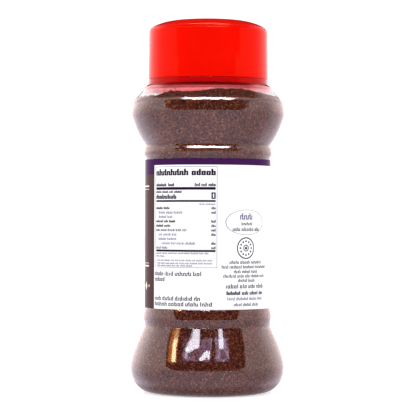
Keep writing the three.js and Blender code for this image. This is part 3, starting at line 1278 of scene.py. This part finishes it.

# %% [markdown]
# ### Red plastic
#
# The cap is a saturated red, moulded smooth and glossy. Shallow waves from cooling bend its
# reflections, and handling has left the gloss a little uneven. The ring is the same plastic; its
# deeper red is painted shade, for the shadow under the skirt and the dark neck behind it.
#
# Daylight soaks through such a thin skirt. From the front the far side's inner face is seen glowing
# red through the clear shoulder. Real light through the plastic would take very long to render, so
# the inner face gives off that little red itself, near its lower edge.


# %% Red plastic
INNER_FACE = 19.5  # what is nearer to the axis, in millimetres, is the inside of cap and ring
GLOW_LOW, GLOW_HIGH = 110.5, 113.5  # the glow fades out between these heights
INSIDE_GLOW = (0.62, 0.008, 0.016)


def inner_glow(tree, place):
    """The red of daylight that has come through the skirt, on its inner face only."""
    x, y, z = node(tree, "SeparateXYZ", {"Vector": place}).outputs
    flat = node(tree, "CombineXYZ", {"X": x, "Y": y}).outputs[0]
    radius = node(tree, "VectorMath", {0: flat}, operation="LENGTH").outputs["Value"]
    inside = maths(tree, "LESS_THAN", radius, INNER_FACE * MM)
    fade = mapped(tree, z, GLOW_LOW * MM, GLOW_HIGH * MM, 1.0, 0.0)
    share = maths(tree, "MULTIPLY", inside, fade)
    scaled = {0: INSIDE_GLOW, "Scale": share}
    return node(tree, "VectorMath", scaled, operation="SCALE").outputs[0]


def red_paint(name, colour, deeper):
    """Glossy moulded plastic."""
    material, tree, shader, place = painted(name)
    tree.links.new(inner_glow(tree, place), shader.inputs["Emission Color"])
    shader.inputs["Emission Strength"].default_value = 1.0
    hue = ramp(tree, cloud(tree, place, 12), [(0.3, deeper), (0.7, colour)])
    tree.links.new(hue, shader.inputs["Base Color"])
    gloss = spread(tree, cloud(tree, place, 3, 3), 0.03, 0.06)
    tree.links.new(gloss, shader.inputs["Roughness"])
    shader.inputs["Specular IOR Level"].default_value = 0.055
    shader.inputs["Specular Tint"].default_value = (1, 0.85, 0.4, 1)
    sink = bump(tree, cloud(tree, place, 16, 1), 0.05)
    tree.links.new(bump(tree, cloud(tree, place, 0.5), 0.002, sink), shader.inputs["Normal"])
    return material


cap.data.materials.append(red_paint("cap_red", (0.71, 0.004, 0.0006), (0.67, 0.003, 0.0005)))
# The ring's deeper red is painted shade, for the shadow under the skirt.
band.data.materials.append(red_paint("red_in_painted_shade", (0.43, 0.002, 0.0025), (0.39, 0.0015, 0.002)))
print("the glow fades out over", GLOW_HIGH - GLOW_LOW, "mm")

# %% [markdown]
# ## Putting it in the frame
#
# Each piece rides on the one body that the frame has, and the solid that it stands for is hidden.
# The record's finish is listed beside each piece, but nothing reads it.

# %% Riding and replacing
for piece, slot, *solids in (
    (jar, "clear_plastic", "jar"),
    (powder, "ground_cloves", "ground_cloves"),
    (loose_grains, "ground_cloves"),
    (wall_flakes, "ground_cloves"),
    (pale_flakes, "ground_cloves"),
    (wall_dust, "ground_cloves"),
    (film, "label_film", "label"),
    (dark_ink, "label_film"),
    (pale_ink, "label_film"),
    (cream_ink, "label_film"),
    (cap, "red_plastic", "cap"),
    (band, "red_plastic", "cap_band"),
):
    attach(piece, "root")
    if solids:
        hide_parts(*solids)
    print(piece.name, "stands for", solids or "nothing hidden")

# %% [markdown]
# ## Floor and light
#
# The jar stands on a plain pale floor in a white room, lit a little more from behind and the sides
# than from the front, where the camera stands. That light would leave the gloss without shape. So
# what the gloss mirrors is a large dome of its own, which only glossy reflections can see.

# %% The floor and the room's light
FLOOR_SIZE = 3.0
FLOOR_GLOW = 0.6  # a little light of its own keeps the floor from shading to grey
ROOM_LIGHT = 1.5
MORE_BEHIND = 0.83  # how much the light gains straight behind and loses straight in front
SEEN_WHITE = 1.25  # the room as the camera sees it, also through the plastic

bpy.ops.object.select_all(action="DESELECT")
bpy.ops.mesh.primitive_circle_add(vertices=96, radius=FLOOR_SIZE, fill_type="NGON")
floor = bpy.context.object
floor.name = "floor"
floor.visible_glossy = False
floor_paint, tree, shader, place = painted("pale_floor")
mottle = ramp(tree, cloud(tree, place, 300), [(0.3, (0.88, 0.88, 0.885)), (0.7, (0.9, 0.9, 0.9))])
tree.links.new(mottle, shader.inputs["Base Color"])
shader.inputs["Roughness"].default_value = 0.9
shader.inputs["Specular IOR Level"].default_value = 0.1
shader.inputs["Emission Color"].default_value = (1, 1, 1, 1)
shader.inputs["Emission Strength"].default_value = FLOOR_GLOW
floor.data.materials.append(floor_paint)

scene = bpy.context.scene
scene.world = bpy.data.worlds.new("white_room")
scene.world.use_nodes = True
tree = scene.world.node_tree
direction = node(tree, "SeparateXYZ", {"Vector": tree.nodes.new("ShaderNodeTexCoord").outputs["Generated"]})
light = maths(tree, "MULTIPLY_ADD", direction.outputs["Y"], MORE_BEHIND, ROOM_LIGHT)
# A ray that has met nothing matt on its way comes from the camera, and sees the plain white.
seen = maths(tree, "LESS_THAN", node(tree, "LightPath", {}).outputs["Diffuse Depth"], 0.5)
strength = node(tree, "Mix", {0: seen, 2: light, 3: SEEN_WHITE}).outputs[0]
background = tree.nodes["Background"]
background.inputs["Color"].default_value = (1, 1, 1, 1)
tree.links.new(strength, background.inputs["Strength"])
scene.view_settings.view_transform = "Standard"
print("room's light from front to back:", ROOM_LIGHT - MORE_BEHIND, "to", ROOM_LIGHT + MORE_BEHIND)

# %% [markdown]
# ### The mirrored dome
#
# A photographer builds such reflections with cards and curtains. Here the dome has bright side walls,
# a lilac-white table below the horizon, a dark ceiling with one bright strip, and a dark opening in
# front, where the camera stands. In the opening hang a few cards: a narrow orange one and two pale
# sheets, one of them with bright folds.
#
# All of it is a pattern on directions. On a round, upright, glossy body a direction is seen where the
# surface's normal is half-way between it and the camera. So the opening and its cards are drawn by
# that half-way normal: how far it turns to the side, and how far it leans up.

# %% Measures on the dome
DOME_RADIUS = 5.0
DARK = 0.03
TO_CAMERA = (0, -1, 0)
NARROWING_POWER, NARROWING, NARROWING_FROM = 1.7, -0.54, 1.07

glow_paint = bpy.data.materials.new("dome_glow")
glow_paint.use_nodes = True
glow_paint.cycles.emission_sampling = "NONE"
tree = glow_paint.node_tree
tree.nodes.clear()
to_degrees = 180 / math.pi
place = node(tree, "TexCoord", {}).outputs["Object"]
towards = node(tree, "VectorMath", {0: place}, operation="NORMALIZE").outputs[0]
x, y, z = node(tree, "SeparateXYZ", {"Vector": towards}).outputs
azimuth = maths(tree, "MULTIPLY", maths(tree, "ARCTAN2", x, maths(tree, "MULTIPLY", y, -1)), to_degrees)
elevation = maths(tree, "MULTIPLY", maths(tree, "ARCSINE", z), to_degrees)
away = maths(tree, "ABSOLUTE", azimuth)

halfway = node(tree, "VectorMath", {0: towards, 1: TO_CAMERA}, operation="ADD").outputs[0]
normal = node(tree, "VectorMath", {0: halfway}, operation="NORMALIZE").outputs[0]
across, _, upwards = node(tree, "SeparateXYZ", {"Vector": normal}).outputs
level = maths(tree, "SQRT", maths(tree, "SUBTRACT", 1.0, maths(tree, "MULTIPLY", upwards, upwards)))
lean = maths(tree, "MULTIPLY", maths(tree, "ARCSINE", upwards), to_degrees)
# The bulge is narrower where it leans more, so a card that looks upright spreads a little there.
leaning = maths(tree, "POWER", maths(tree, "ABSOLUTE", upwards), NARROWING_POWER)
narrowing = maths(tree, "MULTIPLY_ADD", leaning, NARROWING, NARROWING_FROM)
side = maths(tree, "MULTIPLY", maths(tree, "DIVIDE", across, level), narrowing)


# %% Soft shapes
LEAN_TO_SIDE = 45  # so many degrees of lean count as much as the jar's half width


def rise(value, start, end):
    """0 below start, 1 above end and a smooth rise between."""
    return mapped(tree, value, start, end, way="SMOOTHSTEP")


def both(first, second):
    return maths(tree, "MULTIPLY", first, second)


def neither(mask):
    return maths(tree, "SUBTRACT", 1.0, mask)


def within(value, low, high, soft):
    """1 between two values, with soft edges outside them."""
    return both(rise(value, low - soft, low), neither(rise(value, high, high + soft)))


def vectors(operation, first, second):
    return node(tree, "VectorMath", {0: first, 1: second}, operation=operation)


def stroke(start, end, half):
    """A straight soft stroke between two places of side and lean."""
    upright = maths(tree, "MULTIPLY", lean, 1 / LEAN_TO_SIDE)
    spot = node(tree, "CombineXYZ", {"X": side, "Y": upright}).outputs[0]
    a, b = (Vector((sideways, up / LEAN_TO_SIDE, 0)) for sideways, up in (start, end))
    from_start = vectors("SUBTRACT", spot, a).outputs[0]
    dot = vectors("DOT_PRODUCT", from_start, (b - a) / (b - a).length_squared).outputs["Value"]
    share = node(tree, "Clamp", {"Value": dot}).outputs[0]
    along = node(tree, "VectorMath", {0: b - a, "Scale": share}, operation="SCALE").outputs[0]
    distance = vectors("DISTANCE", from_start, along).outputs["Value"]
    return neither(rise(distance, half, half * 2))


def tinted(colour, mask):
    """A colour times a number."""
    return node(tree, "VectorMath", {0: colour, "Scale": mask}, operation="SCALE").outputs[0]


# %% Walls, table, ceiling and opening
WALL_GLOW = (2.35, 2.0, 2.0)
TABLE_GLOW = (1.4, 1.3, 1.5)
STRIP_GLOW = (24.0, 23.0, 24.0)

# Measures to the side are 1 at the jar's outline. Leans, elevations and azimuths are in degrees.
OPENING_LEFT, OPENING_RIGHT, OPENING_SOFT = -0.535, 0.50, 0.02
OPENING_TOP, TOP_SOFT = 24, 0.7
OPENING_MIDDLE = 0.018  # how far it is to the left of the jar's middle
SILL, CORNER_RISE, CORNERS = -0.5, 7, (0.43, 0.54)  # the sill's corners are cut off
WAVES, WAVE_LEAN = 31, 1.4  # the opening's top is wavy, and the strip above it with it
STRIP_LEFT, STRIP_RIGHT, STRIP_FADE = -0.22, 0.24, 0.12
STRIP_LOW, STRIP_HIGH, STRIP_SOFT = OPENING_TOP + 0.6, 33, 0.8
CEILING, CEILING_SOFT = 42, 12  # where the side walls end
OVER_STRIP, OVER_SIDES, DARKER_BY = (33, 38), (0.5, 0.65), -0.95  # the ceiling comes lower there
HAZE = (0.53, 0.68)
TABLE_EDGE, EDGE_IN_HAZE = (-1.5, 0.5), (-14, 11)
TABLE_LEANS, TABLE_NEAR = (-50, -28), 0.4  # the table is darker close to the jar

off_middle = maths(tree, "ABSOLUTE", maths(tree, "ADD", side, OPENING_MIDDLE))
sill = maths(tree, "MULTIPLY_ADD", rise(off_middle, *CORNERS), CORNER_RISE, SILL)
wave = maths(tree, "SINE", maths(tree, "MULTIPLY", side, WAVES))
wavy = maths(tree, "MULTIPLY_ADD", wave, WAVE_LEAN, lean)
below_top = neither(rise(wavy, OPENING_TOP, OPENING_TOP + TOP_SOFT))
opening = both(within(side, OPENING_LEFT, OPENING_RIGHT, OPENING_SOFT), below_top)
opening = both(opening, rise(maths(tree, "SUBTRACT", lean, sill), -0.5, 0.3))
overhead = both(neither(rise(off_middle, *OVER_SIDES)), rise(lean, *OVER_STRIP))
walls = both(neither(rise(lean, CEILING, CEILING + CEILING_SOFT)), neither(opening))
walls = both(walls, maths(tree, "MULTIPLY_ADD", overhead, DARKER_BY, 1.0))
# The table's far edge is sharp in front, and lost in the bright haze at the sides.
haze = rise(off_middle, *HAZE)
edge_low, edge_high = (
    maths(tree, "MULTIPLY_ADD", haze, moved, edge) for moved, edge in zip(EDGE_IN_HAZE, TABLE_EDGE)
)
above_table = rise(elevation, edge_low, edge_high)
far = maths(tree, "MULTIPLY_ADD", rise(lean, *TABLE_LEANS), 1 - TABLE_NEAR, TABLE_NEAR)
table = both(neither(above_table), far)
strip = within(side, STRIP_LEFT, STRIP_RIGHT, STRIP_FADE)
strip = both(strip, within(wavy, STRIP_LOW, STRIP_HIGH, STRIP_SOFT))

# %% [markdown]
# The right wall is a little dimmer than the left one, and the sides are brighter towards the back.
# The three glows are then added up, over a trace of light in what is dark.

# %% Dimmer and brighter
DIM_FROM, DIM_TO, DIM_BY = 20, 110, -0.22
BACK_FROM, BACK_TO, BACK_BY = 95, 130, 0.5
BACK_LEANS = (22, 32)  # the back is no brighter above these
FRONT_SHARE = 0.9

dimmer = maths(tree, "MULTIPLY_ADD", rise(azimuth, DIM_FROM, DIM_TO), DIM_BY, 1.0)
brighter = both(both(rise(away, BACK_FROM, BACK_TO), haze), neither(rise(lean, *BACK_LEANS)))
dimmer = both(dimmer, maths(tree, "MULTIPLY_ADD", brighter, BACK_BY, FRONT_SHARE))
walls, table = both(walls, dimmer), both(table, dimmer)

total = (DARK, DARK, DARK)
for colour, mask in ((WALL_GLOW, both(walls, above_table)), (TABLE_GLOW, table), (STRIP_GLOW, strip)):
    total = vectors("ADD", total, tinted(colour, mask)).outputs[0]
print("nodes of the dome so far:", len(tree.nodes))

# %% [markdown]
# Three cards hang in the opening: a narrow orange one, drawn as an edge and a hotter core, and two
# pale sheets. Soft streaks run through the sheets, as of creased paper, and short strokes stand for
# their folds.

# %% The cards
STREAK_LONG, STREAKS_FAINT = 450, 0.3  # millimetres on the dome, and the glow between streaks
# sides, leans, softness of both, colour
CARDS = [
    ("orange edge", (-0.500, -0.415), (11.0, 21.5), (0.03, 1.2), (5.0, 1.6, 0.25)),
    ("orange core", (-0.452, -0.425), (12.0, 21.0), (0.024, 1.2), (20.0, 14.5, 9.5)),
    ("lilac sheet", (-0.32, 0.06), (13.0, 21.3), (0.015, 0.7), (2.2, 1.5, 2.6)),
    ("pale sheet", (0.115, 0.285), (13.0, 21.5), (0.015, 0.7), (4.4, 3.4, 5.2)),
]
# places of side and lean, half width, brightness
FOLDS = [
    ((-0.15, 21.4), (-0.25, 19.0), 0.028, 14.0),
    ((-0.26, 19.0), (-0.28, 15.0), 0.012, 5.0),
    ((0.045, 18.5), (-0.08, 14.2), 0.018, 15.0),
    ((0.20, 21.8), (0.19, 20.6), 0.02, 13.0),
]
streaks = rise(cloud(tree, place, STREAK_LONG, 4), 0.38, 0.7)
for name, sides, leans, soft, colour in CARDS:
    mask = both(within(side, *sides, soft[0]), within(lean, *leans, soft[1]))
    if name.endswith("sheet"):
        mask = both(mask, maths(tree, "ADD", streaks, STREAKS_FAINT))
    total = vectors("ADD", total, tinted(colour, mask)).outputs[0]
for start, end, half, strength in FOLDS:
    fold = tinted((strength, strength, strength * 1.1), stroke(start, end, half))
    total = vectors("ADD", total, fold).outputs[0]
emission = node(tree, "Emission", {"Color": total, "Strength": 1.0})
node(tree, "OutputMaterial", {"Surface": emission.outputs[0]})
print("nodes of the dome:", len(tree.nodes))


# %% Hanging the dome
def only_mirrored(thing):
    """Leaves a thing in sight of glossy reflections alone."""
    thing.visible_camera = thing.visible_diffuse = thing.visible_transmission = False
    thing.visible_shadow = thing.visible_volume_scatter = False


bpy.ops.object.select_all(action="DESELECT")
bpy.ops.mesh.primitive_uv_sphere_add(segments=48, ring_count=24, radius=DOME_RADIUS)
dome = bpy.context.object
dome.name = "mirrored_dome"
dome.data.materials.append(glow_paint)
only_mirrored(dome)

# %% [markdown]
# The cards show in the lower bulge and not in the upper one. A curved black flag, a hand's breadth in
# front of the jar and above it, hides them from the upper bulge, as a photographer's flag does.

# %% The flag
FLAG_RADIUS, FLAG_LOW, FLAG_HIGH = 127.0, 128.0, 202.0
FLAG_HALF = 58  # degrees

flag = new_piece("black_flag")
turn = math.radians(FLAG_HALF)
first_point(FLAG_RADIUS * math.sin(turn), -FLAG_RADIUS * math.cos(turn), FLAG_LOW)
extruded(0, 0, FLAG_HIGH - FLAG_LOW)
bpy.ops.mesh.select_all(action="SELECT")
spin_left(2 * FLAG_HALF)
finished(flag)
only_mirrored(flag)
flag_paint = bpy.data.materials.new("flag_black")
flag_paint.use_nodes = True
flag_shader = flag_paint.node_tree.nodes["Principled BSDF"]
flag_shader.inputs["Base Color"].default_value = (0.02, 0.02, 0.02, 1)
flag_shader.inputs["Specular IOR Level"].default_value = 0.0
flag.data.materials.append(flag_paint)

# %% [markdown]
# ## The camera
#
# The photograph was taken from the height of the jar's waist, about two thirds of a metre away, with
# a long lens, and the jar leans a fifth of a degree to the right in it.

# %% The camera
DISTANCE = 674.45
CAMERA_HEIGHT = 60.0
AIM = Vector((0.157, 0.0, 64.445))
ROLL = 0.0035  # radians
LENS, SENSOR = 166.76, 36.0

lens = bpy.data.cameras.new("camera")
lens.lens = LENS
lens.sensor_width = SENSOR
lens.clip_start = 0.01
camera = bpy.data.objects.new("camera", lens)
scene.collection.objects.link(camera)
camera.location = Vector((0, -DISTANCE, CAMERA_HEIGHT)) * MM
looking = (AIM * MM - camera.location).to_track_quat("-Z", "Y")
camera.rotation_mode = "QUATERNION"
camera.rotation_quaternion = looking
bpy.context.view_layer.update()
camera.rotation_mode = "XYZ"
camera.rotation_euler.rotate_axis("Z", ROLL)
scene.camera = camera
print("camera to jar's axis in mm:", DISTANCE)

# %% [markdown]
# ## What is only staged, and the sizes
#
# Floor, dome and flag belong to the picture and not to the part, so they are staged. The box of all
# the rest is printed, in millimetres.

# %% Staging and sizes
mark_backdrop(floor, dome, flag)
low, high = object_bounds()
print("visual box in mm:", [round(side / MM, 2) for side in high - low])
